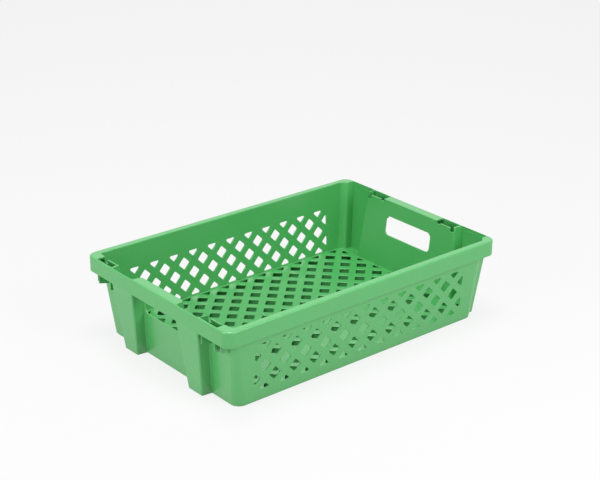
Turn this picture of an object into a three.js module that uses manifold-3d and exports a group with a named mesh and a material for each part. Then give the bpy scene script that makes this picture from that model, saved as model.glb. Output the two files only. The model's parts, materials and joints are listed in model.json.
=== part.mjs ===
// Stacking and nesting vegetable crate, one green plastic moulding, in millimetres, +Z up.
// The origin is at the middle of the bottom, X runs along the crate and Y across it.
// The whole moulding is shaped first: a tapered tub, outward columns that carry the load, and a
// turned-down rim round the top. Flat cuts then part it into the named regions, which meet face to
// face. The left end (-X) has its columns close together and the right end (+X) has them at the
// corners, so a crate that is turned half round stands its feet in the slots of the crate below.
import * as THREE from "three";
import { mergeVertices } from "three/addons/utils/BufferGeometryUtils.js";
import Module from "manifold-3d";

// Overall size
const LENGTH = 600;
const WIDTH = 400;
const HEIGHT = 150;

// Walls. Insets are from the rim's outside to the wall's outside at the bottom, and a draft is how
// far a wall leans out for each millimetre of height.
const WALL = 2.5;
const SIDE_INSET = 21;
const SIDE_DRAFT = 0.07;
const END_INSET = 34;
const END_DRAFT = 0.11;
const LEFT_CORNER_RADIUS = 17;
const LEFT_CORNER_TAPER = 0.05;
const RIGHT_CORNER_RADIUS = 15;
const RIGHT_CORNER_REACH = 4;

// Rim: a flat flange with a turned-down skirt
const FLANGE = 3;
const SKIRT_WALL = 3;
const SKIRT_DROP = 28;
const RIM_CORNER_RADIUS = 17;
const RIM_EDGE_RADIUS = 3;
const RIM_EDGE_STEPS = 3;

// Columns: hollow, open to the inside, wider at the top and at their mouth
const COLUMN_INSET = 15;
const COLUMN_HALF_WIDTH = 18.6;
const COLUMN_SIDE_DRAFT = 0.092;
const COLUMN_SPLAY = 2;
const COLUMN_EDGE_RADIUS = 3;
const RIGHT_COLUMN_GAP = 53;
const COLUMN_RIM = 2;
const COLUMN_RIM_DROP = 7;

// Stacking slots in the end rims, each over the place where the other end has a column
const SLOT_HALF_LENGTH = 22.5;
const SLOT_STRIP = 3.5;
const LIP_HALF_LENGTH = 13;
const LIP_DROP = 3.5;
const SHALLOW_NOTCH = 2.5;
const FOOT_SINK = 11;

// Gussets under the slots, which carry the feet of the crate above
const GUSSET = 2;
const GUSSET_INSET = 2;
const GUSSET_TOP_DROP = 0.5;
const GUSSET_DROP = 16;
const GUSSET_SLANT = 6;
const SHORT_GUSSET_CLEARANCE = 9;
const CORNER_GUSSET_CLEARANCE = 3;
const CORNER_GUSSET_GAP = 26;

// Floor: a sheet with square holes turned to stand on a corner
const FLOOR_TOP = 17;
const FLOOR_SHEET = 2.5;
const FLOOR_HALF_PITCH = 22;
const FLOOR_BAR = 13.3;
const FLOOR_PLAIN_EDGE_X = 2.7;
const FLOOR_PLAIN_EDGE_Y = 1.3;
const FLOOR_PLAIN_CORNER = 11;

// Lattice of the long walls
const LATTICE_HALF_PITCH_X = 21.2;
const LATTICE_HALF_PITCH_Z = 21.4;
const LATTICE_BAR = 13;
const LATTICE_END_MARGIN = 30;
const LATTICE_ABOVE_FLOOR = 2.4;
const LATTICE_BELOW_SKIRT = 12;

// Hand-holes in the end walls, as wide as the left columns leave room for
const HAND_HOLE_SIDE_GAP = 1.5;
const HAND_HOLE_HEIGHT = 37;
const HAND_HOLE_DROP = 30;
const HAND_HOLE_RADIUS = 9;

// Finish
const PLASTIC_COLOUR = 0x4fb062;
const PLASTIC_ROUGHNESS = 0.42;

// Fineness of the round stretches, and how far a cut runs past what it cuts
const ARC_STEPS = 5;
const EDGE_STEPS = 2;
const PAST = 1;

const halfLength = LENGTH / 2;
const halfWidth = WIDTH / 2;
const skirtBottom = HEIGHT - SKIRT_DROP;
const flangeBottom = HEIGHT - FLANGE;
const sheetBottom = FLOOR_TOP - FLOOR_SHEET;
const ledgeTop = HEIGHT - FOOT_SINK;
const columnSlope = COLUMN_INSET / skirtBottom;
const columnTopHalf = COLUMN_HALF_WIDTH + COLUMN_SIDE_DRAFT * HEIGHT;
const rightColumnY = halfWidth - RIGHT_COLUMN_GAP;
const leftColumnY = rightColumnY - SLOT_HALF_LENGTH - columnTopHalf;

// Faces of the walls, measured from the middle of the crate at a height.
const endFace = (z) => halfLength - END_INSET + END_DRAFT * z;
const sideFace = (z) => halfWidth - SIDE_INSET + SIDE_DRAFT * z;
const columnFace = (z) => halfLength - COLUMN_INSET + columnSlope * z;

// Whole numbers of lattice half pitches that fit in a long wall.
const latticeBottom = FLOOR_TOP + LATTICE_ABOVE_FLOOR;
const latticeTopLimit = skirtBottom - LATTICE_BELOW_SKIRT;
const latticeCountX = Math.floor((endFace(0) - LATTICE_END_MARGIN) / LATTICE_HALF_PITCH_X);
const latticeCountZ = Math.floor((latticeTopLimit - latticeBottom) / LATTICE_HALF_PITCH_Z);
const latticeHalfLength = latticeCountX * LATTICE_HALF_PITCH_X;

// Planes that part the moulding into its regions, on whole or half millimetres and clear of its
// own faces. The floor is parted in the plain edge round its holes.
const partingX = Math.ceil(latticeHalfLength + LATTICE_BAR / 2);
const skirtX = Math.round((endFace(HEIGHT) + halfLength - SKIRT_WALL) / 2);
const skirtY = Math.round((sideFace(HEIGHT) + halfWidth - SKIRT_WALL) / 2);
const rimZ = Math.ceil(flangeBottom) - 1;
const footZ = Math.ceil(sheetBottom) - 1;
const leftPanelHalf = Math.round(leftColumnY - columnTopHalf);
const leftColumnEnd = Math.ceil(leftColumnY + columnTopHalf + COLUMN_SPLAY);
const rightPanelHalf = Math.floor(leftColumnY - SLOT_HALF_LENGTH - GUSSET);
const rightColumnStart = Math.floor(rightColumnY - columnTopHalf - COLUMN_SPLAY);
const floorHolesX = endFace(sheetBottom) - WALL - FLOOR_PLAIN_EDGE_X;
const floorHolesY = sideFace(sheetBottom) - WALL - FLOOR_PLAIN_EDGE_Y;
const floorHalfX = Math.round(2 * floorHolesX + FLOOR_PLAIN_EDGE_X) / 2;
const floorHalfY = Math.round(2 * floorHolesY + FLOOR_PLAIN_EDGE_Y) / 2;

const wasm = await Module();
wasm.setup();

// Turns a closed three.js geometry into a solid that can be joined and cut.
function solidOf(geometry) {
  const bare = geometry.clone();
  bare.deleteAttribute("normal");
  bare.deleteAttribute("uv");
  const merged = mergeVertices(bare, 1e-4);
  return new wasm.Manifold(
    new wasm.Mesh({
      numProp: 3,
      vertProperties: new Float32Array(merged.attributes.position.array),
      triVerts: new Uint32Array(merged.index.array),
    }),
  );
}

// Turns a solid back into a geometry.
function geometryOf(solid) {
  const mesh = solid.getMesh();
  const geometry = new THREE.BufferGeometry();
  geometry.setAttribute("position", new THREE.BufferAttribute(mesh.vertProperties, 3));
  geometry.setIndex(new THREE.BufferAttribute(mesh.triVerts, 1));
  return geometry;
}

// Joins a list of solids into one.
function join(solids) {
  return solids.reduce((whole, next) => whole.add(next));
}

// An axis-aligned block whose faces lie exactly on the six given planes.
function block(x0, x1, y0, y1, z0, z1) {
  const geometry = new THREE.BoxGeometry();
  const place = geometry.attributes.position;
  for (let i = 0; i < place.count; i++) {
    const x = place.getX(i) < 0 ? x0 : x1;
    const y = place.getY(i) < 0 ? y0 : y1;
    const z = place.getZ(i) < 0 ? z0 : z1;
    place.setXYZ(i, x, y, z);
  }
  return solidOf(geometry);
}

// Mirrors a geometry to the left end or the front side and keeps its faces pointing out.
function mirrored(geometry, end, side) {
  const flat = geometry.index ? geometry.toNonIndexed() : geometry;
  flat.scale(end, side, 1);
  if (end * side < 0) {
    const place = flat.attributes.position;
    const second = new THREE.Vector3();
    const third = new THREE.Vector3();
    for (let i = 0; i < place.count; i += 3) {
      second.fromBufferAttribute(place, i + 1);
      third.fromBufferAttribute(place, i + 2);
      place.setXYZ(i + 1, third.x, third.y, third.z);
      place.setXYZ(i + 2, second.x, second.y, second.z);
    }
  }
  return flat;
}

// A block given by its distance outwards at one end (end -1 left, 1 right) and on one side.
function endBlock(end, x0, x1, side, y0, y1, z0, z1) {
  const xs = [end * x0, end * x1].sort((a, b) => a - b);
  const ys = [side * y0, side * y1].sort((a, b) => a - b);
  return block(xs[0], xs[1], ys[0], ys[1], z0, z1);
}

// A block in the middle of the crate with square corners left out of it.
function crossBlock(halfX, halfY, z0, z1) {
  const corners = [-1, 1].flatMap((end) =>
    [-1, 1].map((side) => {
      const x0 = halfX - FLOOR_PLAIN_CORNER;
      const y0 = halfY - FLOOR_PLAIN_CORNER;
      return endBlock(end, x0, halfX + PAST, side, y0, halfY + PAST, z0 - PAST, z1 + PAST);
    }),
  );
  return block(-halfX, halfX, -halfY, halfY, z0, z1).subtract(join(corners));
}

// Rounds the corners of an outline. Each corner is [x, y, radius, steps], counter-clockwise.
function roundedOutline(corners) {
  const points = [];
  corners.forEach(([x, y, radius = 0, steps = 1], i) => {
    if (radius === 0) {
      points.push(new THREE.Vector2(x, y));
      return;
    }
    const corner = new THREE.Vector2(x, y);
    const [px, py] = corners[(i + corners.length - 1) % corners.length];
    const [nx, ny] = corners[(i + 1) % corners.length];
    const back = new THREE.Vector2(px, py).sub(corner).normalize();
    const ahead = new THREE.Vector2(nx, ny).sub(corner).normalize();
    const half = Math.acos(THREE.MathUtils.clamp(back.dot(ahead), -1, 1)) / 2;
    const centre = back.clone().add(ahead).normalize();
    centre.multiplyScalar(radius / Math.sin(half)).add(corner);
    const start = back.clone().multiplyScalar(radius / Math.tan(half)).add(corner).sub(centre);
    const turn = (back.cross(ahead) > 0 ? -1 : 1) * (Math.PI - 2 * half);
    for (let k = 0; k <= steps; k++) {
      const origin = new THREE.Vector2(0, 0);
      points.push(start.clone().rotateAround(origin, (turn * k) / steps).add(centre));
    }
  });
  return points;
}

// A closed loft through level outlines. Each level is {z, points}, with as many points in each.
function loft(levels) {
  const upright = THREE.ShapeUtils.area(levels[0].points) > 0;
  const rings = levels.map(({ z, points }) => ({ z, points: upright ? points : [...points].reverse() }));
  const count = rings[0].points.length;
  const positions = rings.flatMap(({ z, points }) => points.flatMap((p) => [p.x, p.y, z]));
  const indices = [];
  for (let level = 0; level + 1 < rings.length; level++) {
    for (let i = 0; i < count; i++) {
      const a = level * count + i;
      const b = level * count + ((i + 1) % count);
      indices.push(a, b, b + count, a, b + count, a + count);
    }
  }
  const top = (rings.length - 1) * count;
  for (const [a, b, c] of THREE.ShapeUtils.triangulateShape(rings[0].points, [])) {
    indices.push(a, c, b);
  }
  for (const [a, b, c] of THREE.ShapeUtils.triangulateShape(rings[rings.length - 1].points, [])) {
    indices.push(top + a, top + b, top + c);
  }
  const geometry = new THREE.BufferGeometry();
  geometry.setAttribute("position", new THREE.Float32BufferAttribute(positions, 3));
  geometry.setIndex(indices);
  return solidOf(geometry);
}

// The plan of the tapered tub at a height, drawn in by the wall where its inside is wanted.
function tubPlan(z, inward) {
  const x = endFace(z) - inward;
  const y = sideFace(z) - inward;
  const right = [RIGHT_CORNER_RADIUS - inward, ARC_STEPS];
  const left = [LEFT_CORNER_RADIUS - LEFT_CORNER_TAPER * z - inward, ARC_STEPS];
  return roundedOutline([
    [x, -y, ...right],
    [x, y, ...right],
    [-x, y, ...left],
    [-x, -y, ...left],
  ]);
}

// The plan of a right-hand corner, whose round reaches past the end wall to meet its column.
function shoulderPlan(z, inward, side) {
  const reach = endFace(z) + RIGHT_CORNER_REACH - inward;
  const y = sideFace(z) - inward;
  const inner = reach - 2 * RIGHT_CORNER_RADIUS;
  const round = [RIGHT_CORNER_RADIUS - inward, ARC_STEPS];
  const corners = [
    [inner, rightColumnY],
    [reach, rightColumnY],
    [reach, y, ...round],
    [inner, y],
  ];
  return roundedOutline(corners).map((p) => new THREE.Vector2(p.x, side * p.y));
}

// The plan of a column, with a tail that runs inwards through the wall it stands on. The hollow
// of a column stops at the inside of the skirt.
function columnPlan(z, inward, end, side, middle) {
  const hollowFace = Math.min(columnFace(z) - WALL, halfLength - SKIRT_WALL);
  const face = inward > 0 ? hollowFace : columnFace(z);
  const mouth = endFace(z);
  const half = COLUMN_HALF_WIDTH + COLUMN_SIDE_DRAFT * z - inward;
  const tail = mouth - 4 * WALL;
  const edge = [COLUMN_EDGE_RADIUS - inward, EDGE_STEPS];
  const corners = [
    [tail, -half - COLUMN_SPLAY],
    [mouth, -half - COLUMN_SPLAY],
    [face, -half, ...edge],
    [face, half, ...edge],
    [mouth, half + COLUMN_SPLAY],
    [tail, half + COLUMN_SPLAY],
  ];
  return roundedOutline(corners).map((p) => new THREE.Vector2(end * p.x, side * (p.y + middle)));
}

// A plan function lofted through heights.
function loftThrough(heights, plan) {
  return loft(heights.map((z) => ({ z, points: plan(z) })));
}

// The four columns, as [end, side, distance of the middle from the centre line].
const columns = [-1, 1].flatMap((side) => [
  { end: -1, side, middle: leftColumnY },
  { end: 1, side, middle: rightColumnY },
]);

// The four slots lie over the columns that the other end has.
const slots = [-1, 1].flatMap((side) => [
  { end: -1, side, middle: rightColumnY },
  { end: 1, side, middle: leftColumnY },
]);

// All that lies inside the walls between two heights.
function insideBetween(heights) {
  return join([
    loftThrough(heights, (z) => tubPlan(z, WALL)),
    ...[-1, 1].map((side) => loftThrough(heights, (z) => shoulderPlan(z, WALL, side))),
    ...columns.map(({ end, side, middle }) =>
      loftThrough(heights, (z) => columnPlan(z, WALL, end, side, middle)),
    ),
  ]);
}

// A level outline of the rim, drawn in by an amount.
function rimPlan(inward) {
  const x = halfLength - inward;
  const y = halfWidth - inward;
  const round = [RIM_CORNER_RADIUS - inward, ARC_STEPS];
  return roundedOutline([
    [x, -y, ...round],
    [x, y, ...round],
    [-x, y, ...round],
    [-x, -y, ...round],
  ]);
}

// The outside that nothing reaches past, up to the rounded top edge of the rim.
function envelope() {
  const levels = [{ z: -PAST, points: rimPlan(0) }];
  for (let k = 0; k <= RIM_EDGE_STEPS; k++) {
    const angle = (Math.PI / 2) * (k / RIM_EDGE_STEPS);
    levels.push({
      z: HEIGHT - RIM_EDGE_RADIUS * (1 - Math.sin(angle)),
      points: rimPlan(RIM_EDGE_RADIUS * (1 - Math.cos(angle))),
    });
  }
  return loft(levels);
}

// What a slot takes out of the rim and the wall: the flange, the lip's drop and a notch on each
// side of the lip. At the right end the notch nearer to the hand-hole is a shallow one.
function slotCut({ end, side, middle }) {
  const inner = endFace(ledgeTop) - 2 * WALL;
  const outer = halfLength - SLOT_STRIP;
  const from = middle - SLOT_HALF_LENGTH;
  const to = middle + SLOT_HALF_LENGTH;
  const notchEnd = endFace(HEIGHT) + WALL;
  const nearNotch = end > 0 ? HEIGHT - LIP_DROP - SHALLOW_NOTCH : ledgeTop;
  const top = HEIGHT + PAST;
  return join([
    endBlock(end, inner, outer, side, from, to, HEIGHT - LIP_DROP, top),
    endBlock(end, inner, notchEnd, side, from, middle - LIP_HALF_LENGTH, nearNotch, top),
    endBlock(end, inner, notchEnd, side, middle + LIP_HALF_LENGTH, to, ledgeTop, top),
  ]);
}

// The thinner edge that a column has at its top, inside the rim.
function columnRimCut({ end, side, middle }) {
  const half = columnTopHalf - 2 * WALL;
  const outer = halfLength - COLUMN_RIM;
  const inner = outer - SKIRT_WALL;
  const bottom = HEIGHT - COLUMN_RIM_DROP;
  return endBlock(end, inner, outer, side, middle - half, middle + half, bottom, HEIGHT + PAST);
}

// A gusset between an end wall and the skirt, at a distance from the centre line.
function gusset(end, side, y, outer) {
  const bottom = skirtBottom - GUSSET_DROP;
  const top = ledgeTop - GUSSET_TOP_DROP;
  const root = endFace(bottom) - 2 * WALL;
  const outline = new THREE.Shape([
    new THREE.Vector2(root, bottom - GUSSET_SLANT),
    new THREE.Vector2(outer, bottom),
    new THREE.Vector2(outer, top),
    new THREE.Vector2(root, top),
  ]);
  const geometry = new THREE.ExtrudeGeometry(outline, { depth: GUSSET, bevelEnabled: false });
  geometry.rotateX(Math.PI / 2);
  geometry.translate(0, y + GUSSET / 2, 0);
  return solidOf(mirrored(geometry, end, side));
}

// The gussets of one slot: one under each side wall of a foot and a short one under its middle.
// The left corners have one more, where the skirt turns.
function slotGussets({ end, side, middle }) {
  const footSide = COLUMN_HALF_WIDTH - WALL / 2;
  const full = halfLength - GUSSET_INSET;
  const short = halfLength - SKIRT_WALL - SHORT_GUSSET_CLEARANCE;
  const list = [
    gusset(end, side, middle - footSide, full),
    gusset(end, side, middle, short),
    gusset(end, side, middle + footSide, full),
  ];
  if (end < 0) {
    const corner = halfLength - SKIRT_WALL - CORNER_GUSSET_CLEARANCE;
    list.push(gusset(end, side, halfWidth - CORNER_GUSSET_GAP, corner));
  }
  return list;
}

// Prisms for the holes of a lattice, standing on the plane of the pattern and centred on it.
// A hole stands at every second crossing of a grid of half pitches, and its corners point along
// the grid, so that bars of one width run slantwise between the holes.
function latticePrisms({ halfPitchU, halfPitchV, bar, countU, firstV, lastV, odd, depth }) {
  const reach = (halfPitchU * halfPitchV) / Math.hypot(halfPitchU, halfPitchV);
  const share = (reach - bar / 2) / reach;
  const du = halfPitchU * share;
  const dv = halfPitchV * share;
  const shapes = [];
  for (let i = -countU; i <= countU; i++) {
    for (let j = firstV; j <= lastV; j++) {
      if (Math.abs(i + j) % 2 === odd) {
        const u = i * halfPitchU;
        const v = j * halfPitchV;
        const corners = [[u + du, v], [u, v + dv], [u - du, v], [u, v - dv]];
        shapes.push(new THREE.Shape(corners.map(([a, b]) => new THREE.Vector2(a, b))));
      }
    }
  }
  const geometry = new THREE.ExtrudeGeometry(shapes, { depth, bevelEnabled: false });
  return geometry.translate(0, 0, -depth / 2);
}

// The holes of the floor sheet, cut off straight along the plain edge of the floor.
function floorHoles() {
  const countV = Math.ceil(floorHolesY / FLOOR_HALF_PITCH);
  const prisms = latticePrisms({
    halfPitchU: FLOOR_HALF_PITCH,
    halfPitchV: FLOOR_HALF_PITCH,
    bar: FLOOR_BAR,
    countU: Math.ceil(floorHolesX / FLOOR_HALF_PITCH),
    firstV: -countV,
    lastV: countV,
    odd: 1,
    depth: 4 * FLOOR_SHEET,
  });
  prisms.translate(0, 0, FLOOR_TOP - FLOOR_SHEET / 2);
  return solidOf(prisms).intersect(crossBlock(floorHolesX, floorHolesY, 0, skirtBottom));
}

// The holes of one long wall, with half holes along the edges of the pattern.
function wallHoles(side) {
  const depth = SIDE_INSET;
  const prisms = latticePrisms({
    halfPitchU: LATTICE_HALF_PITCH_X,
    halfPitchV: LATTICE_HALF_PITCH_Z,
    bar: LATTICE_BAR,
    countU: latticeCountX,
    firstV: 0,
    lastV: latticeCountZ,
    odd: 0,
    depth,
  });
  prisms.rotateX(Math.PI / 2);
  prisms.translate(0, side * sideFace(skirtBottom / 2), latticeBottom);
  const window = block(
    -latticeHalfLength,
    latticeHalfLength,
    -halfWidth,
    halfWidth,
    latticeBottom,
    latticeBottom + latticeCountZ * LATTICE_HALF_PITCH_Z,
  );
  return solidOf(prisms).intersect(window);
}

// A hand-hole through the wall of one end, under the rim.
function handHole(end) {
  const y = leftPanelHalf - HAND_HOLE_SIDE_GAP;
  const z1 = HEIGHT - HAND_HOLE_DROP;
  const z0 = z1 - HAND_HOLE_HEIGHT;
  const round = [HAND_HOLE_RADIUS, ARC_STEPS];
  const outline = roundedOutline([
    [-y, z0, ...round],
    [y, z0, ...round],
    [y, z1, ...round],
    [-y, z1, ...round],
  ]);
  const start = endFace(z0) - 2 * WALL;
  const depth = skirtX - start;
  const geometry = new THREE.ExtrudeGeometry(new THREE.Shape(outline), { depth, bevelEnabled: false });
  geometry.rotateX(Math.PI / 2);
  geometry.rotateZ(Math.PI / 2);
  geometry.translate(start, 0, 0);
  return solidOf(mirrored(geometry, end, 1));
}

// The whole moulding in one solid.
function moulding() {
  const top = HEIGHT + PAST;
  const rimOutside = loftThrough([skirtBottom, top], () => rimPlan(-PAST));
  const rimInside = loftThrough([skirtBottom - PAST, flangeBottom], () => rimPlan(SKIRT_WALL));
  const walls = join([
    loftThrough([0, top], (z) => tubPlan(z, 0)),
    ...[-1, 1].map((side) => loftThrough([0, top], (z) => shoulderPlan(z, 0, side))),
    rimOutside.subtract(rimInside),
  ]);
  const outside = join([
    walls.subtract(join(slots.map(slotCut))),
    ...slots.flatMap(slotGussets),
    ...columns.map(({ end, side, middle }) =>
      loftThrough([0, top], (z) => columnPlan(z, 0, end, side, middle)),
    ),
  ]);
  const above = insideBetween([FLOOR_TOP, skirtBottom, top]);
  const below = insideBetween([-PAST, sheetBottom]);
  const holes = [floorHoles(), wallHoles(-1), wallHoles(1), handHole(-1), handHole(1)];
  const edges = columns.map(columnRimCut);
  return outside.intersect(envelope()).subtract(join([above, below, ...holes, ...edges]));
}

const whole = moulding();
const floorRegion = crossBlock(floorHalfX, floorHalfY, sheetBottom - PAST, FLOOR_TOP + PAST);
const body = whole.subtract(floorRegion);

const group = new THREE.Group();

// Adds one named region of the moulding to the group.
function addRegion(name, solid) {
  const material = new THREE.MeshStandardMaterial({
    color: PLASTIC_COLOUR,
    roughness: PLASTIC_ROUGHNESS,
    metalness: 0,
  });
  const mesh = new THREE.Mesh(geometryOf(solid), material);
  mesh.name = name;
  group.add(mesh);
}

// The part of the walls in a block at one end.
function cutEnd(end, side, y0, y1, z0, z1) {
  return body.intersect(endBlock(end, partingX, halfLength + PAST, side, y0, y1, z0, z1));
}

// An end wall between its columns or slots, and the rim above and outside it.
function addEndMiddle(end, halfSpan, panelName, rimName) {
  const both = body.intersect(
    endBlock(end, partingX, halfLength + PAST, 1, -halfSpan, halfSpan, -PAST, HEIGHT + PAST),
  );
  const wallSide = endBlock(end, partingX, skirtX, 1, -halfSpan, halfSpan, -PAST, rimZ);
  addRegion(panelName, both.intersect(wallSide));
  addRegion(rimName, both.subtract(wallSide));
}

addRegion("floor_grid", whole.intersect(floorRegion));
addEndMiddle(-1, leftPanelHalf, "end_panel_left", "end_rim_left");
addEndMiddle(1, rightPanelHalf, "end_panel_right", "end_rim_right");

for (const [side, sideName] of [[-1, "front"], [1, "rear"]]) {
  const long = body.intersect(
    endBlock(1, -partingX, partingX, side, 0, halfWidth + PAST, -PAST, HEIGHT + PAST),
  );
  const wallSide = endBlock(1, -partingX, partingX, side, 0, skirtY, -PAST, rimZ);
  addRegion("long_wall_" + sideName, long.intersect(wallSide));
  addRegion("long_rim_" + sideName, long.subtract(wallSide));

  const top = HEIGHT + PAST;
  const outer = halfWidth + PAST;
  addRegion("column_left_" + sideName, cutEnd(-1, side, leftPanelHalf, leftColumnEnd, footZ, top));
  addRegion("foot_left_" + sideName, cutEnd(-1, side, leftPanelHalf, leftColumnEnd, -PAST, footZ));
  addRegion("corner_left_" + sideName, cutEnd(-1, side, leftColumnEnd, outer, -PAST, top));
  addRegion("slot_bay_right_" + sideName, cutEnd(1, side, rightPanelHalf, rightColumnStart, -PAST, top));
  addRegion("corner_column_right_" + sideName, cutEnd(1, side, rightColumnStart, outer, footZ, top));
  addRegion("foot_right_" + sideName, cutEnd(1, side, rightColumnStart, outer, -PAST, footZ));
}

export default group;
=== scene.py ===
"""Looks of the stacking vegetable crate: one satin green moulding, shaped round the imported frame.

All shaping is done in millimetres, as the object is drawn, and goes to metres at the very end.
"""

import json
import logging
import math
from dataclasses import dataclass
from enum import Enum
from typing import Sequence

import bmesh
import bpy
from bpy.types import ID, Material, Node, NodeSocket, NodeTree, Object
from mathutils import Matrix, Vector

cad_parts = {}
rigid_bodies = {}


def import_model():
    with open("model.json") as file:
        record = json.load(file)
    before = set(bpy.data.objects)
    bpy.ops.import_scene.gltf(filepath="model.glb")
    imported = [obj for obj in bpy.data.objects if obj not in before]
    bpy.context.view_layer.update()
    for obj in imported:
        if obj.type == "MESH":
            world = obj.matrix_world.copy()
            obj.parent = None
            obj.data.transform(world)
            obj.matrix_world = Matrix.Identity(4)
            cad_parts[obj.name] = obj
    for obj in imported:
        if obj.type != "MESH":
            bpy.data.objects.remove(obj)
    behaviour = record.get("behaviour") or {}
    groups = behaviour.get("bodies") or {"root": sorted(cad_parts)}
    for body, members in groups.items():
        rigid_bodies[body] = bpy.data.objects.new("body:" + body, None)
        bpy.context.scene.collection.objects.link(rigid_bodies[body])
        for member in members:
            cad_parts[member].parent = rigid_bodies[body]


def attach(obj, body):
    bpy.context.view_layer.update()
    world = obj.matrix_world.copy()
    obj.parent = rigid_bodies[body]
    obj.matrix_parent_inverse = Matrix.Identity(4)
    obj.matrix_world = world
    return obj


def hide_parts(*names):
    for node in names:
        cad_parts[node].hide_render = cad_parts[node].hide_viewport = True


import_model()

log = logging.getLogger("crate")

Point = tuple[float, float]
Level = tuple[float, list[Point]]
Colour = tuple[float, float, float, float]
Values = dict[str | int, object]

# A millimetre in metres.
MM = 0.001
# The signs of the sides along y and of the ends along x.
FRONT = -1
REAR = 1
LEFT = -1
RIGHT = 1
SIDE_NAMES = {FRONT: "front", REAR: "rear"}
END_NAMES = {LEFT: "left", RIGHT: "right"}
CORNERS = [(end, side) for end in END_NAMES for side in SIDE_NAMES]
# How far a block reaches past what it parts, in millimetres.
PAST = 1.0
# The least share of a face's normal along an axis at which it looks along that axis.
FLAT = 0.98
# How near to a dividing line a point counts as on it.
NEAR = 0.0001
# The steps of a small rounded edge, how far it turns, and how far it runs past its face.
ROUND_STEPS = 3
FLARE_TURN = math.radians(72)
FLARE_PAST = 0.06
# How near two whole numbers count as the same in nodes.
ALIKE = 0.5
WHITE = (1.0, 1.0, 1.0, 1.0)


class Join(Enum):
    """How a second solid works on a first one."""

    ADD = "UNION"
    CUT = "DIFFERENCE"
    KEEP = "INTERSECT"


class HolePart(Enum):
    """Which crossings of a lattice a hole shape is set on."""

    INNER = 0
    LOW_V = 1
    HIGH_V = 2
    LOW_U = 3
    HIGH_U = 4


def rounded(corners: Sequence[tuple[float, float, float, int]]) -> list[Point]:
    """Rounds the corners of a closed outline.

    Args:
        corners: x, y, radius and steps of each corner, in order round the outline.

    Returns:
        The points of the rounded outline.
    """
    points: list[Point] = []
    for i, (x, y, radius, steps) in enumerate(corners):
        if radius <= 0:
            points.append((x, y))
            continue
        corner = Vector((x, y))
        back = (Vector(corners[i - 1][:2]) - corner).normalized()
        ahead = (Vector(corners[(i + 1) % len(corners)][:2]) - corner).normalized()
        half = math.acos(max(-1.0, min(1.0, back.dot(ahead)))) / 2
        centre = corner + (back + ahead).normalized() * (radius / math.sin(half))
        start = corner + back * (radius / math.tan(half)) - centre
        turn = (-1 if back.cross(ahead) > 0 else 1) * (math.pi - 2 * half)
        for k in range(steps + 1):
            spoke = Matrix.Rotation(turn * k / steps, 2) @ start
            points.append((centre.x + spoke.x, centre.y + spoke.y))
    return points


def grown(corners: Sequence[Point], amount: float) -> list[Point]:
    """Moves every edge of a convex, counter-clockwise outline outwards.

    Args:
        corners: The outline's corners.
        amount: How far its edges move.

    Returns:
        The new corners.
    """
    lines = []
    for start, stop in zip(corners, [*corners[1:], corners[0]]):
        along = (Vector(stop) - Vector(start)).normalized()
        out = Vector((along.y, -along.x))
        lines.append((Vector(start) + out * amount, along))
    moved = []
    for (p, a), (q, b) in zip([lines[-1], *lines[:-1]], lines):
        t = (q - p).cross(b) / a.cross(b)
        moved.append(tuple(p + a * t))
    return moved


def clipped(corners: Sequence[Point], axis: int, limit: float, sign: int) -> list[Point]:
    """The part of an outline on one side of a straight line along an axis.

    Args:
        corners: The outline's corners.
        axis: 0 to clip along the first coordinate, 1 for the second.
        limit: Where the line lies.
        sign: 1 keeps what lies below the limit, -1 what lies above.

    Returns:
        The corners that are left.
    """
    kept = []
    for start, stop in zip(corners, [*corners[1:], corners[0]]):
        a, b = sign * (start[axis] - limit), sign * (stop[axis] - limit)
        if a <= 0:
            kept.append(tuple(start))
        if a * b < 0:
            kept.append(tuple(Vector(start).lerp(Vector(stop), a / (a - b))))
    return kept


def show(name: str, data: ID) -> Object:
    """Puts an object into the scene.

    Args:
        name: The object's name.
        data: Its mesh, lamp or camera.

    Returns:
        The object.
    """
    made = bpy.data.objects.new(name, data)
    bpy.context.scene.collection.objects.link(made)
    return made


def solid(name: str, shape: bmesh.types.BMesh) -> Object:
    """Makes a scene object of a mesh, with its faces turned outwards.

    Args:
        name: The object's name.
        shape: The mesh, which is freed.

    Returns:
        The new object.
    """
    bmesh.ops.recalc_face_normals(shape, faces=shape.faces)
    mesh = bpy.data.meshes.new(name)
    shape.to_mesh(mesh)
    shape.free()
    return show(name, mesh)


def loft(name: str, levels: Sequence[Level]) -> Object:
    """A closed solid through level outlines that have as many points each.

    Args:
        name: The object's name.
        levels: Height and outline of each level, from the lowest up.

    Returns:
        The solid.
    """
    shape = bmesh.new()
    rings = [[shape.verts.new((x, y, z)) for x, y in points] for z, points in levels]
    count = len(rings[0])
    for low, high in zip(rings, rings[1:]):
        for i in range(count):
            j = (i + 1) % count
            shape.faces.new((low[i], low[j], high[j], high[i]))
    shape.faces.new(rings[0])
    shape.faces.new(rings[-1])
    return solid(name, shape)


def block(x: Point, y: Point, z: Point) -> Object:
    """A straight block between two x, two y and two z planes.

    Args:
        x: Its two x planes, in any order.
        y: Its two y planes.
        z: Its two z planes.

    Returns:
        The block.
    """
    (x0, x1), (y0, y1) = sorted(x), sorted(y)
    outline = [(x0, y0), (x1, y0), (x1, y1), (x0, y1)]
    return loft("block", [(height, outline) for height in sorted(z)])


def bake(piece: Object) -> None:
    """Turns a piece with its modifiers into a plain mesh.

    Args:
        piece: The piece.
    """
    graph = bpy.context.evaluated_depsgraph_get()
    mesh = bpy.data.meshes.new_from_object(piece.evaluated_get(graph))
    piece.modifiers.clear()
    old = piece.data
    piece.data = mesh
    bpy.data.meshes.remove(old)


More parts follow.
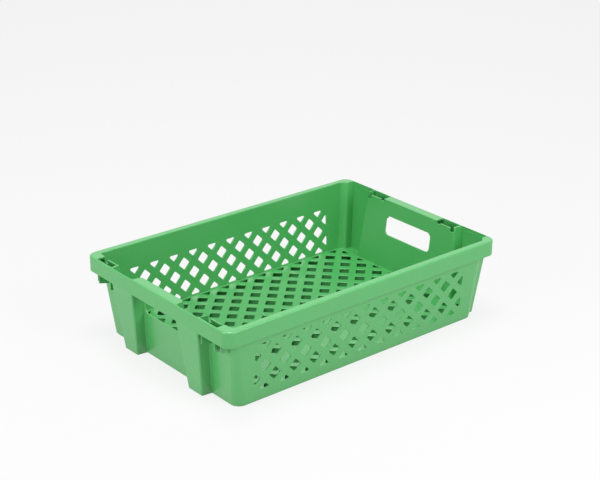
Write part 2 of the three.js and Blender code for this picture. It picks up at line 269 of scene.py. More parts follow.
def work(first: Object, second: Object, how: Join) -> Object:
    """Joins a second solid to a first one, cuts it away, or keeps what both share.

    Args:
        first: The solid that is changed.
        second: The solid that works on it, which is used up.
        how: Which of the three is done.

    Returns:
        The first solid.
    """
    modifier = first.modifiers.new("work", "BOOLEAN")
    modifier.object = second
    modifier.operation = how.value
    modifier.solver = "MANIFOLD"
    bake(first)
    drop(second)
    return first


def drop(piece: Object) -> None:
    """Removes an object that is no longer needed, with its mesh.

    Args:
        piece: The object.
    """
    mesh = piece.data
    bpy.data.objects.remove(piece)
    bpy.data.meshes.remove(mesh)


def scored(
    piece: Object, axis: int, faces_at: Point, cuts: Sequence[tuple[int, Sequence[float]]]
) -> None:
    """Divides large flat faces along lines through the holes that they are to get.

    Args:
        piece: The solid.
        axis: The axis that the faces look along.
        faces_at: Least and greatest distance of the faces from the middle along it.
        cuts: For each direction of lines, the axis across them and their places on it.
    """
    shape = bmesh.new()
    shape.from_mesh(piece.data)
    low, high = faces_at
    for across, places in cuts:
        normal = Vector((0.0, 0.0, 0.0))
        normal[across] = 1.0
        for place in places:
            faces = [face for face in shape.faces if abs(face.normal[axis]) > FLAT]
            faces = [f for f in faces if low < abs(f.calc_center_median()[axis]) < high]
            edges = [edge for face in faces for edge in face.edges]
            corners = [corner for face in faces for corner in face.verts]
            bmesh.ops.bisect_plane(
                shape, geom=list(dict.fromkeys([*faces, *edges, *corners])), dist=NEAR,
                plane_co=normal * place, plane_no=normal,
            )
    shape.to_mesh(piece.data)
    shape.free()


def copy_of(piece: Object) -> Object:
    """A separate copy of a solid."""
    return show(piece.name + "_copy", piece.data.copy())


def placed(piece: Object, matrix: Matrix) -> Object:
    """Moves a solid's vertices by a matrix and keeps its faces pointing out.

    Args:
        piece: The solid.
        matrix: The move, which may mirror it.

    Returns:
        The same solid.
    """
    piece.data.transform(matrix)
    if matrix.determinant() < 0:
        piece.data.flip_normals()
    return piece


def quarter_round(radius: float, steps: int = ROUND_STEPS) -> list[Point]:
    """A quarter round from its foot up, as pairs of how far in and how high each step lies."""
    turns = [math.pi / 2 * k / steps for k in range(steps + 1)]
    return [(radius * (1 - math.sin(turn)), radius * (1 - math.cos(turn))) for turn in turns]


def flare(radius: float) -> list[Point]:
    """The rounded edge where a hole comes out of a face.

    Args:
        radius: Radius of the edge.

    Returns:
        Pairs of how far the hole has grown and how far above the face it is, past the face at
        the end.
    """
    steps = [FLARE_TURN * k / ROUND_STEPS for k in range(ROUND_STEPS + 1)]
    pairs = [(radius * (1 - math.cos(a)), radius * (math.sin(a) - 1)) for a in steps]
    grown_by, above = pairs[-1]
    rest = FLARE_PAST - above
    return [*pairs, (grown_by + rest * math.tan(FLARE_TURN), FLARE_PAST)]


def spool(
    name: str, corners: Sequence[Point], corner_radius: float, steps: int, depth: Point, edge: float
) -> Object:
    """A cutter for a hole with rounded corners and with a rounded edge at both faces.

    Args:
        name: The object's name.
        corners: The hole's convex outline, counter-clockwise.
        corner_radius: Radius of its corners.
        steps: Steps round a corner.
        depth: Heights of both faces that it goes through.
        edge: Radius of its edges at the faces.

    Returns:
        The cutter, standing on the plane of the outline.
    """
    low, high = depth
    profile = [(low - above, by) for by, above in reversed(flare(edge))]
    profile += [(high + above, by) for by, above in flare(edge)]
    levels = []
    for height, by in profile:
        turned = [(x, y, corner_radius + by, steps) for x, y in grown(corners, by)]
        levels.append((height, rounded(turned)))
    return loft(name, levels)


def feed(tree: NodeTree, node: Node, values: Values) -> None:
    """Fills a node's sockets.

    Args:
        tree: The tree that the node is in.
        node: The node.
        values: What goes into its sockets, by name or number: a socket or a plain value.
    """
    for key, value in values.items():
        if isinstance(value, NodeSocket):
            tree.links.new(value, node.inputs[key])
        else:
            node.inputs[key].default_value = value


def add_node(tree: NodeTree, kind: str, values: Values, **settings: object) -> Node:
    """Adds a node to a tree.

    Args:
        tree: The tree.
        kind: The node's type name.
        values: What goes into its sockets.
        settings: Its own settings.

    Returns:
        The node.
    """
    made = tree.nodes.new(kind)
    for key, value in settings.items():
        setattr(made, key, value)
    feed(tree, made, values)
    return made


class PatternTree:
    """A geometry node tree that sets a shape out in a pattern, with named inputs."""

    def __init__(
        self, name: str, material: Material, numbers: Sequence[str], wholes: Sequence[str]
    ) -> None:
        """Starts the tree with its inputs.

        Args:
            name: The tree's name.
            material: The material that it sets.
            numbers: Names of its number inputs.
            wholes: Names of its whole number inputs.
        """
        self.material = material
        self.tree = bpy.data.node_groups.new(name, "GeometryNodeTree")
        kinds = {"Geometry": "Geometry", **dict.fromkeys(numbers, "Float")}
        kinds.update({**dict.fromkeys(wholes, "Int"), "Material": "Material"})
        sockets = self.tree.interface
        for label, kind in kinds.items():
            sockets.new_socket(label, in_out="INPUT", socket_type="NodeSocket" + kind)
        sockets.new_socket("Geometry", in_out="OUTPUT", socket_type="NodeSocketGeometry")
        self.given = self.tree.nodes.new("NodeGroupInput").outputs
        self.result = self.tree.nodes.new("NodeGroupOutput")

    def node(self, kind: str, values: Values, **settings: object) -> NodeSocket:
        """Adds a node and gives its first result."""
        return add_node(self.tree, kind, values, **settings).outputs[0]

    def math(self, operation: str, a: object, b: object = 0.0) -> NodeSocket:
        """Adds a calculation with two values and gives its result."""
        return self.node("ShaderNodeMath", {0: a, 1: b}, operation=operation)

    def same(self, a: object, b: object) -> NodeSocket:
        """1 where two whole numbers are equal, otherwise 0."""
        return self.node("ShaderNodeMath", {0: a, 1: b, 2: ALIKE}, operation="COMPARE")

    def finish(self, points: NodeSocket, chosen: object = True) -> None:
        """Ends the tree: the shape on its points, as real geometry with its material set.

        Args:
            points: The points.
            chosen: Which of them get the shape.
        """
        values = {"Points": points, "Instance": self.given["Geometry"], "Selection": chosen}
        spread = self.node("GeometryNodeInstanceOnPoints", values)
        real = self.node("GeometryNodeRealizeInstances", {0: spread})
        values = {"Geometry": real, "Material": self.given["Material"]}
        feed(self.tree, self.result, {0: self.node("GeometryNodeSetMaterial", values)})

    def run(self, piece: Object, values: Values) -> Object:
        """Runs the tree on a piece and keeps the result as its plain mesh.

        Args:
            piece: The piece whose mesh goes in.
            values: The named inputs.

        Returns:
            The same piece with its new mesh.
        """
        modifier = piece.modifiers.new(self.tree.name, "NODES")
        modifier.node_group = self.tree
        inputs = {**values, "Material": self.material}
        for item in self.tree.interface.items_tree:
            if item.in_out == "INPUT" and item.name in inputs:
                modifier[item.identifier] = inputs[item.name]
        bake(piece)
        return piece


class HoleLattice(PatternTree):
    """Sets a hole shape on every second crossing of a grid of half pitches."""

    def __init__(self, material: Material) -> None:
        """Builds the tree once for all lattices.

        Args:
            material: The material that it sets.
        """
        wholes = ("Count U", "First V", "Last V", "Odd", "Part")
        super().__init__("hole_lattice", material, ("Half pitch U", "Half pitch V"), wholes)
        given = self.given
        pitch_u, pitch_v = given["Half pitch U"], given["Half pitch V"]
        count_u, first, last = given["Count U"], given["First V"], given["Last V"]
        rows = self.math("SUBTRACT", last, first)
        columns = self.math("MULTIPLY", count_u, 2.0)
        sizes = {
            "Size X": self.math("MULTIPLY", columns, pitch_u),
            "Size Y": self.math("MULTIPLY", rows, pitch_v),
            "Vertices X": self.math("ADD", columns, 1.0),
            "Vertices Y": self.math("ADD", rows, 1.0),
        }
        grid = self.node("GeometryNodeMeshGrid", sizes)
        rise = self.math("MULTIPLY", self.math("ADD", first, last), 0.5)
        shift = self.node("ShaderNodeCombineXYZ", {"Y": self.math("MULTIPLY", rise, pitch_v)})
        moved = self.node("GeometryNodeTransform", {"Geometry": grid, "Translation": shift})
        place = self.node("GeometryNodeInputPosition", {})
        split = add_node(self.tree, "ShaderNodeSeparateXYZ", {0: place}).outputs
        i = self.math("ROUND", self.math("DIVIDE", split["X"], pitch_u))
        j = self.math("ROUND", self.math("DIVIDE", split["Y"], pitch_v))
        parity = self.math("FLOORED_MODULO", self.math("ADD", i, j), 2.0)
        wanted = self.same(parity, given["Odd"])
        code: object = 0.0
        edges = (
            (HolePart.LOW_V, j, first),
            (HolePart.HIGH_V, j, last),
            (HolePart.LOW_U, i, self.math("MULTIPLY", count_u, -1.0)),
            (HolePart.HIGH_U, i, count_u),
        )
        for part, index, edge in edges:
            weight = self.math("MULTIPLY", self.same(index, edge), float(part.value))
            code = self.math("ADD", weight, code)
        self.finish(moved, self.math("MULTIPLY", wanted, self.same(code, given["Part"])))


class RibRow(PatternTree):
    """Sets a rib out in a row across the crate."""

    def __init__(self, material: Material) -> None:
        """Builds the tree once for all ribs.

        Args:
            material: The material that it sets.
        """
        super().__init__("rib_row", material, ("Start", "Spacing"), ("Count",))
        start = self.node("ShaderNodeCombineXYZ", {"Y": self.given["Start"]})
        step = self.node("ShaderNodeCombineXYZ", {"Y": self.given["Spacing"]})
        values = {"Count": self.given["Count"], "Start Location": start, "Offset": step}
        self.finish(self.node("GeometryNodeMeshLine", values, mode="OFFSET"))


@dataclass(frozen=True)
class CrateSizes:
    """The crate's driving sizes in millimetres. A draft is millimetres for each of height."""

    length: float = 600
    width: float = 400
    height: float = 150
    wall: float = 2.5
    side_inset: float = 21
    side_draft: float = 0.07
    end_inset: float = 34
    end_draft: float = 0.11
    left_corner: float = 17
    left_corner_taper: float = 0.05
    right_corner: float = 15
    right_reach: float = 4
    flange: float = 3
    skirt_wall: float = 3
    skirt_drop: float = 28
    rim_corner: float = 17
    rim_edge: float = 3
    column_inset: float = 15
    column_half: float = 18.6
    column_draft: float = 0.092
    column_splay: float = 2
    column_edge: float = 3
    right_column_gap: float = 53
    column_rim: float = 2
    column_rim_drop: float = 7
    slot_half: float = 22.5
    slot_strip: float = 3.5
    lip_half: float = 13
    lip_drop: float = 3.5
    shallow_notch: float = 2.5
    foot_sink: float = 11
    floor_top: float = 17
    floor_sheet: float = 2.5

    @property
    def half_length(self) -> float:
        """Half the crate's length."""
        return self.length / 2

    @property
    def half_width(self) -> float:
        """Half the crate's width."""
        return self.width / 2

    @property
    def skirt_bottom(self) -> float:
        """Height of the skirt's lower edge."""
        return self.height - self.skirt_drop

    @property
    def flange_bottom(self) -> float:
        """Height of the flange's underside."""
        return self.height - self.flange

    @property
    def sheet_bottom(self) -> float:
        """Height of the floor's underside."""
        return self.floor_top - self.floor_sheet

    @property
    def ledge_top(self) -> float:
        """Height of the ledges that carry the feet of a crate above."""
        return self.height - self.foot_sink

    @property
    def column_top_half(self) -> float:
        """Half a column's width at the top."""
        return self.column_half_at(self.height)

    @property
    def right_column(self) -> float:
        """Distance of the right columns from the centre line."""
        return self.half_width - self.right_column_gap

    @property
    def left_column(self) -> float:
        """Distance of the left columns from the centre line."""
        return self.right_column - self.slot_half - self.column_top_half

    @property
    def past_wall(self) -> float:
        """A depth that goes well through a wall."""
        return 2 * self.wall

    @property
    def panel_half(self) -> float:
        """Half the width of the end panel between the left columns."""
        return round(self.left_column - self.column_top_half)

    def end_face(self, z: float) -> float:
        """Distance of an end wall's outside from the middle at a height."""
        return self.half_length - self.end_inset + self.end_draft * z

    def side_face(self, z: float) -> float:
        """Distance of a long wall's outside from the middle at a height."""
        return self.half_width - self.side_inset + self.side_draft * z

    def column_face(self, z: float) -> float:
        """Distance of a column's face from the middle at a height."""
        slope = self.column_inset / self.skirt_bottom
        return self.half_length - self.column_inset + slope * z

    def column_half_at(self, z: float) -> float:
        """Half a column's width at a height."""
        return self.column_half + self.column_draft * z

    def column_of(self, end: int) -> float:
        """Distance of an end's columns from the centre line."""
        return self.left_column if end == LEFT else self.right_column

    def slot_of(self, end: int) -> float:
        """Distance of an end's slots from the centre line."""
        return self.column_of(-end)


@dataclass
class Tub:
    """The tapered walls with their four columns, one winding outline lofted through heights."""

    sizes: CrateSizes = CrateSizes()
    arc_steps: int = 8
    edge_steps: int = 4
    flush: float = 0.02
    mouth_round: float = 1.4
    mouth_growth: float = 2.5
    foot_round: float = 0.8
    floor_round: float = 0.4
    brim_round: float = 1.2
    least_round: float = 0.4

    def rear_outline(self, z: float, inward: float) -> list[Point]:
        """The outline on the rear side at a height.

        Args:
            z: Height of the outline.
            inward: How far it is drawn in from the outside of the walls.

        Returns:
            Its points, from the middle of the right end round to the middle of the left end.
        """
        s = self.sizes
        end = s.end_face(z) - inward
        side = s.side_face(z) - inward
        half = s.column_half_at(z) - inward
        limit = s.half_length - (s.skirt_wall if inward > 0 else self.flush)
        face = min(s.column_face(z) - inward, limit)
        mouth = self.mouth_round + inward
        if z > s.skirt_bottom and inward > 0:
            mouth += self.mouth_growth * (z - s.skirt_bottom) / s.skirt_drop
        edge = max(s.column_edge - inward, self.least_round)
        steps = self.edge_steps
        splay = half + s.column_splay
        right, left = s.right_column, s.left_column
        reach = s.end_face(z) + s.right_reach
        centre = Vector((reach - s.right_corner, s.side_face(z) - s.right_corner))
        ring = s.right_corner - inward
        line = right + half + s.column_splay / 2
        v = line + mouth
        u = centre.x + math.sqrt(max((ring + mouth) ** 2 - (v - centre.y) ** 2, 0.0))
        touch = math.atan2(v - centre.y, u - centre.x)
        first = [
            (end, 0.0, 0.0, 1),
            (end, right - splay, mouth, steps),
            (face, right - half, edge, steps),
            (face, right + half, edge, steps),
            (u, line, 0.0, 1),
        ]
        points = rounded([*first, (0.0, line, 0.0, 1)])[:-1]
        for k in range(1, steps + 1):
            turn = -math.pi / 2 - (math.pi / 2 - touch) * k / steps
            points.append((u + mouth * math.cos(turn), v + mouth * math.sin(turn)))
        for k in range(1, self.arc_steps + 1):
            turn = touch + (math.pi / 2 - touch) * k / self.arc_steps
            points.append((centre.x + ring * math.cos(turn), centre.y + ring * math.sin(turn)))
        corner = s.left_corner - s.left_corner_taper * z - inward
        second = [
            (0.0, side, 0.0, 1),
            (-end, side, corner, self.arc_steps),
            (-end, left + splay, mouth, steps),
            (-face, left + half, edge, steps),
            (-face, left - half, edge, steps),
            (-end, left - splay, mouth, steps),
            (-end, 0.0, 0.0, 1),
        ]
        return points + rounded(second)[1:]

    def outline(self, z: float, inward: float) -> list[Point]:
        """The whole outline at a height, drawn in by an amount, counter-clockwise."""
        rear = self.rear_outline(z, inward)
        return rear + [(x, -y) for x, y in reversed(rear[1:-1])]

    def levels(self, pairs: Sequence[Point]) -> list[Level]:
        """The outlines at given heights, each with how far it is drawn in."""
        return [(z, self.outline(z, inward)) for z, inward in pairs]

    def outside(self) -> Object:
        """The solid within the outer faces of the walls, with a rounded bottom edge.

        Returns:
            The solid, up to just under the flange's underside.
        """
        s = self.sizes
        pairs = [(z, inward) for inward, z in quarter_round(self.foot_round)]
        pairs += [(s.skirt_bottom, 0), (s.flange_bottom - self.flush, 0)]
        return loft("tub_outside", self.levels(pairs))

    def inside_above(self) -> Object:
        """What the walls hold above the floor, with a rounded foot and a rounded brim.

        Returns:
            The cutter for it.
        """
        s = self.sizes
        foot = quarter_round(self.floor_round)
        pairs = [(s.floor_top + rise, s.wall + inward) for inward, rise in foot]
        pairs.append((s.skirt_bottom, s.wall))
        pairs += [(s.height + above, s.wall - by) for by, above in flare(self.brim_round)]
        return loft("inside_above", self.levels(pairs))

    def inside_below(self) -> Object:
        """The hollow under the floor, with a rounded bottom edge.

        Returns:
            The cutter for it.
        """
        s = self.sizes
        pairs = [(-above, s.wall - by) for by, above in reversed(flare(self.foot_round))]
        pairs.append((s.sheet_bottom, s.wall))
        return loft("inside_below", self.levels(pairs))

    def column_tops(self) -> list[Object]:
        """The upper stretches of the columns, which stay whole beside the slots.

        Returns:
            One solid for each column.
        """
        s = self.sizes
        made = []
        for end, side in CORNERS:
            middle = s.column_of(end)
            levels: list[Level] = []
            for z in (s.skirt_bottom, s.height - self.flush):
                half = s.column_half_at(z) - self.flush
                splay = half + s.column_splay
                mouth = s.end_face(z)
                tail = mouth - s.past_wall
                face = min(s.column_face(z), s.half_length) - s.rim_edge
                outline = [
                    (tail, -splay), (mouth, -splay), (face, -half),
                    (face, half), (mouth, splay), (tail, splay),
                ]
                levels.append((z, [(end * x, side * (y + middle)) for x, y in outline]))
            made.append(loft("column_top", levels))
        return made


@dataclass
class Rim:
    """The flat flange with its turned-down skirt, soft along every edge."""

    sizes: CrateSizes = CrateSizes()
    corner_steps: int = 10
    edge_steps: int = 5
    skirt_edge: float = 0.7
    inner_round: float = 2.0

    def outline(self, inward: float) -> list[Point]:
        """The rim's outline, drawn in by an amount.

        Args:
            inward: How far it is drawn in.

        Returns:
            Its points, counter-clockwise.
        """
        s = self.sizes
        x = s.half_length - inward
        y = s.half_width - inward
        radius = s.rim_corner - inward
        corners = [(x, -y), (x, y), (-x, y), (-x, -y)]
        return rounded([(a, b, radius, self.corner_steps) for a, b in corners])

    def levels(self, pairs: Sequence[Point]) -> list[Level]:
        """The outlines at given heights, each with how far it is drawn in."""
        return [(z, self.outline(inward)) for z, inward in pairs]

    def build(self) -> Object:
        """The whole rim, still without its opening and slots.

        Returns:
            The flange with its skirt, closed in the middle.
        """
        s = self.sizes
        steps = self.edge_steps
        low, high = quarter_round(self.skirt_edge, steps), quarter_round(s.rim_edge, steps)
        pairs = [(s.skirt_bottom + rise, inward) for inward, rise in low]
        pairs += [(s.height - drop, inward) for drop, inward in high]
        whole = loft("rim", self.levels(pairs))
        mouth, inner = reversed(flare(self.skirt_edge)), quarter_round(self.inner_round, steps)
        pairs = [(s.skirt_bottom - above, s.skirt_wall - by) for by, above in mouth]
        pairs += [(s.flange_bottom - drop, s.skirt_wall + inward) for drop, inward in inner]
        return work(whole, loft("rim_hollow", self.levels(pairs)), Join.CUT)


@dataclass
class StackingSlots:
    """The slots in the end rims that take the feet of a crate above, and the ribs under them."""

    sizes: CrateSizes = CrateSizes()
    edge: float = 0.6
    corner: float = 1.5
    corner_steps: int = 3
    rib: float = 2.0
    rib_inset: float = 2.0
    rib_top_drop: float = 0.5
    rib_drop: float = 16.0
    rib_slant: float = 6.0
    short_rib_gap: float = 9.0
    corner_rib_gap: float = 3.0
    corner_rib_place: float = 26.0
    rib_edge: float = 0.35
    rib_edge_steps: int = 2
    rib_profile: float = 0.5

    def cutters(self) -> list[Object]:
        """What the four slots take out of the rim and the end walls.

        Returns:
            A pocket and two notches for each slot.
        """
        s = self.sizes
        inner = s.end_face(s.ledge_top) - s.past_wall
        outer = s.half_length - s.slot_strip
        notch_end = s.end_face(s.height) + s.wall
        lip = s.height - s.lip_drop
        made = []
        for end, side in CORNERS:
            near = lip - s.shallow_notch if end == RIGHT else s.ledge_top
            middle = s.slot_of(end)
            start, stop = middle - s.slot_half, middle + s.slot_half
            made.append(self.pocket(end, side, (inner, outer), (start, stop), lip))
            for low, high, bottom in (
                (start, middle - s.lip_half, near), (middle + s.lip_half, stop, s.ledge_top)
            ):
                x = (end * inner, end * notch_end)
                made.append(block(x, (side * low, side * high), (bottom, s.height + PAST)))
        return made

    def column_rims(self) -> list[Object]:
        """What thins the tops of the four columns inside the rim.

        Returns:
            One pocket for each column.
        """
        s = self.sizes
        half = s.column_top_half - 2 * s.wall
        outer = s.half_length - s.column_rim
        x = (outer - s.skirt_wall, outer)
        bottom = s.height - s.column_rim_drop
        made = []
        for end, side in CORNERS:
            middle = s.column_of(end)
            made.append(self.pocket(end, side, x, (middle - half, middle + half), bottom))
        return made

    def pocket(self, end: int, side: int, x: Point, y: Point, bottom: float) -> Object:
        """A pocket open at the top, with soft outer corners and a soft edge at the flange.

        Args:
            end: The end that it is in.
            side: The side that it is on.
            x: Its nearest and farthest distance from the middle along x.
            y: The same along y.
            bottom: Height of its floor.

        Returns:
            The cutter for it.
        """
        mouth = [(self.sizes.height + above, by) for by, above in flare(self.edge)]
        levels: list[Level] = []
        for height, by in [(bottom, 0.0), *mouth]:
            soft = (self.corner + by, self.corner_steps)
            x0, x1, y0, y1 = x[0] - by, x[1] + by, y[0] - by, y[1] + by
            corners = [(x0, y0, 0.0, 1), (x1, y0, *soft), (x1, y1, *soft), (x0, y1, 0.0, 1)]
            levels.append((height, [(end * a, side * b) for a, b in rounded(corners)]))
        return loft("pocket", levels)

    def rib_shape(self, outer: float) -> Object:
        """One upright rib between an end wall and the skirt, with soft edges.

        Args:
            outer: How far out it reaches.

        Returns:
            The rib of a right end, standing on the centre line.
        """
        s = self.sizes
        bottom = s.skirt_bottom - self.rib_drop
        top = s.ledge_top - self.rib_top_drop
        root = s.end_face(bottom) - s.past_wall
        side = [(root, bottom - self.rib_slant), (outer, bottom), (outer, top), (root, top)]
        shape = bmesh.new()
        near = [shape.verts.new((x, -self.rib / 2, z)) for x, z in side]
        far = [shape.verts.new((x, self.rib / 2, z)) for x, z in side]
        shape.faces.new(near)
        shape.faces.new(list(reversed(far)))
        for i in range(len(side)):
            j = (i + 1) % len(side)
            shape.faces.new((near[i], far[i], far[j], near[j]))
        bmesh.ops.bevel(
            shape, geom=shape.edges[:], offset=self.rib_edge, segments=self.rib_edge_steps,
            profile=self.rib_profile, affect="EDGES",
        )
        return solid("rib", shape)

    def ribs(self, row: RibRow) -> list[Object]:
        """All the ribs, set out in rows by the row's nodes.

        Args:
            row: The nodes that set a rib out in a row.

        Returns:
            The rows of ribs.
        """
        s = self.sizes
        foot_side = s.column_half - s.wall / 2
        full = s.half_length - self.rib_inset
        short = s.half_length - s.skirt_wall - self.short_rib_gap
        corner = s.half_length - s.skirt_wall - self.corner_rib_gap
        made = []
        for end, side in CORNERS:
            middle = s.slot_of(end)
            rows = [(full, middle - foot_side, 2, 2 * foot_side), (short, middle, 1, 0.0)]
            if end == LEFT:
                rows.append((corner, s.half_width - self.corner_rib_place, 1, 0.0))
            for outer, start, count, spacing in rows:
                values = {"Start": start, "Spacing": spacing, "Count": count}
                piece = row.run(self.rib_shape(outer), values)
                made.append(placed(piece, Matrix.Diagonal((end, side, 1, 1))))
        return made


@dataclass
class Perforations:
    """The square holes, turned to stand on a corner, in the floor and in the long walls."""

    lattice: HoleLattice
    sizes: CrateSizes = CrateSizes()
    floor_half_pitch: float = 22.0
    floor_bar: float = 13.3
    floor_plain_x: float = 2.7
    floor_plain_y: float = 1.9
    wall_half_pitch_x: float = 21.2
    wall_half_pitch_z: float = 21.4
    wall_bar: float = 13.0
    wall_end_margin: float = 30.0
    wall_above_floor: float = 2.4
    wall_below_skirt: float = 12.0
    above_floor: float = 0.1
    edge: float = 0.7
    corner: float = 2.1
    corner_steps: int = 3

    @property
    def floor_reach_x(self) -> float:
        """Where the floor's pattern stops towards the ends."""
        s = self.sizes
        return s.end_face(s.sheet_bottom) - s.wall - self.floor_plain_x

    @property
    def floor_reach_y(self) -> float:
        """Where the floor's pattern stops towards the long walls."""
        s = self.sizes
        return s.side_face(s.sheet_bottom) - s.wall - self.floor_plain_y

    @property
    def wall_bottom(self) -> float:
        """Height of the lowest edge of the wall pattern."""
        return self.sizes.floor_top + self.wall_above_floor

    @property
    def wall_count_x(self) -> int:
        """Half pitches from the middle of a long wall to the end of its pattern."""
        room = self.sizes.end_face(0) - self.wall_end_margin
        return math.floor(room / self.wall_half_pitch_x)

    @property
    def wall_count_z(self) -> int:
        """Half pitches up a long wall."""
        room = self.sizes.skirt_bottom - self.wall_below_skirt - self.wall_bottom
        return math.floor(room / self.wall_half_pitch_z)

    @property
    def wall_half_length(self) -> float:
        """Half the length of a long wall's pattern."""
        return self.wall_count_x * self.wall_half_pitch_x

    def score(self, whole: Object) -> None:
        """Divides the floor and the long walls along lines through their holes.

        Args:
            whole: The moulding.
        """
        s = self.sizes
        pitch = self.floor_half_pitch
        count_x = math.ceil(self.floor_reach_x / pitch)
        count_y = math.ceil(self.floor_reach_y / pitch)
        lines_x = [i * pitch for i in range(-count_x + 1, count_x)]
        lines_y = [i * pitch for i in range(-count_y + 1, count_y)]
        floor_at = (s.sheet_bottom - PAST, s.floor_top + self.above_floor)
        scored(whole, 2, floor_at, [(0, lines_x), (1, lines_y)])
        across, up = self.wall_half_pitch_x, self.wall_half_pitch_z
        lines_x = [i * across for i in range(-self.wall_count_x, self.wall_count_x + 1)]
        lines_z = [self.wall_bottom + j * up for j in range(self.wall_count_z + 1)]
        walls_at = (s.side_face(0) - s.past_wall, s.side_face(s.height))
        scored(whole, 1, walls_at, [(0, lines_x), (2, lines_z)])

    def diamond(self, pitch: Point, bar: float) -> list[Point]:
        """The outline of one hole.

        Args:
            pitch: The lattice's half pitches.
            bar: Width of the bars between the holes.

        Returns:
            Its corners, centred on its crossing.
        """
        across, up = pitch
        reach = across * up / math.hypot(across, up)
        share = (reach - bar / 2) / reach
        u, v = across * share, up * share
        return [(u, 0.0), (0.0, v), (-u, 0.0), (0.0, -v)]

    def spread(
        self, pitch: Point, bar: float, over: Point, depth: Point, counts: dict[str, int]
    ) -> list[Object]:
        """Cutters for all the holes of one lattice.

        Args:
            pitch: The lattice's half pitches.
            bar: Width of the bars between the holes.
            over: How far the pattern goes past its outermost crossings, or less than 0.
            depth: Heights of both faces.
            counts: The lattice's whole number inputs.

        Returns:
            One cutter for the inner holes and one for each edge.
        """
        whole = self.diamond(pitch, bar)
        over_u, over_v = over
        shapes = {
            HolePart.INNER: whole,
            HolePart.LOW_V: clipped(whole, 1, -over_v, -1),
            HolePart.HIGH_V: clipped(whole, 1, over_v, 1),
            HolePart.LOW_U: clipped(whole, 0, -over_u, -1),
            HolePart.HIGH_U: clipped(whole, 0, over_u, 1),
        }
        values = {"Half pitch U": pitch[0], "Half pitch V": pitch[1], **counts}
        made = []
        for part, shape in shapes.items():
            hole = spool("hole", shape, self.corner, self.corner_steps, depth, self.edge)
            made.append(self.lattice.run(hole, {**values, "Part": part.value}))
        return made

    def floor_holes(self) -> list[Object]:
        """The holes of the floor, cut straight at the edges of their pattern.

        Returns:
            Their cutters.
        """
        s = self.sizes
        pitch = self.floor_half_pitch
        count_u = math.ceil(self.floor_reach_x / pitch)
        count_v = round(self.floor_reach_y / pitch)
        over = (self.floor_reach_x - count_u * pitch, self.floor_reach_y - count_v * pitch)
        depth = (s.sheet_bottom, s.floor_top)
        counts = {"Count U": count_u, "First V": -count_v, "Last V": count_v, "Odd": 1}
        return self.spread((pitch, pitch), self.floor_bar, over, depth, counts)

    def wall_holes(self, side: int) -> list[Object]:
        """The holes of one long wall, which lean with it.

        Args:
            side: Which long wall it is.

        Returns:
            Their cutters.
        """
        s = self.sizes
        pitch = (self.wall_half_pitch_x, self.wall_half_pitch_z)
        counts = {"Count U": self.wall_count_x, "First V": 0, "Last V": self.wall_count_z, "Odd": 0}
        holes = self.spread(pitch, self.wall_bar, (0.0, 0.0), (-s.wall, 0.0), counts)
        bottom = self.wall_bottom
        out = (0, side * s.side_draft, side, side * s.side_face(bottom))
        lean = Matrix(((1, 0, 0, 0), out, (0, 1, 0, bottom), (0, 0, 0, 1)))
        return [placed(hole, lean) for hole in holes]


@dataclass
class HandHoles:
    """The hand-holes in the end walls, with a soft edge on both faces."""

    sizes: CrateSizes = CrateSizes()
    side_gap: float = 1.5
    tall: float = 37.0
    drop: float = 30.0
    corner: float = 9.0
    corner_steps: int = 8
    edge: float = 0.9

    def score(self, whole: Object) -> None:
        """Divides the end walls along lines through the hand-holes.

        Args:
            whole: The moulding.
        """
        s = self.sizes
        walls_at = (s.end_face(0) - s.past_wall, s.end_face(s.height))
        middle = s.height - self.drop - self.tall / 2
        scored(whole, 0, walls_at, [(1, [0.0]), (2, [middle])])

    def cutter(self, end: int) -> Object:
        """The cutter for one end, leaning with its wall.

        Args:
            end: Which end it is.

        Returns:
            The cutter.
        """
        s = self.sizes
        half = s.panel_half - self.side_gap
        top = s.height - self.drop
        bottom = top - self.tall
        corners = [(-half, bottom), (half, bottom), (half, top), (-half, top)]
        depth = (-s.wall, 0.0)
        hole = spool("hand_hole", corners, self.corner, self.corner_steps, depth, self.edge)
        out = (0, end * s.end_draft, end, end * s.end_face(0))
        return placed(hole, Matrix((out, (1, 0, 0, 0), (0, 1, 0, 0), (0, 0, 0, 1))))


@dataclass(frozen=True)
class Finish:
    """A material of nodes. Each finish sets its own."""

    name: str

    def build(self) -> Material:
        """Makes the material.

        Returns:
            The material.
        """
        material = bpy.data.materials.new(self.name)
        material.use_nodes = True
        self.fill(material.node_tree)
        return material

    def fill(self, tree: NodeTree) -> None:
        """Sets the finish's nodes."""
        raise NotImplementedError


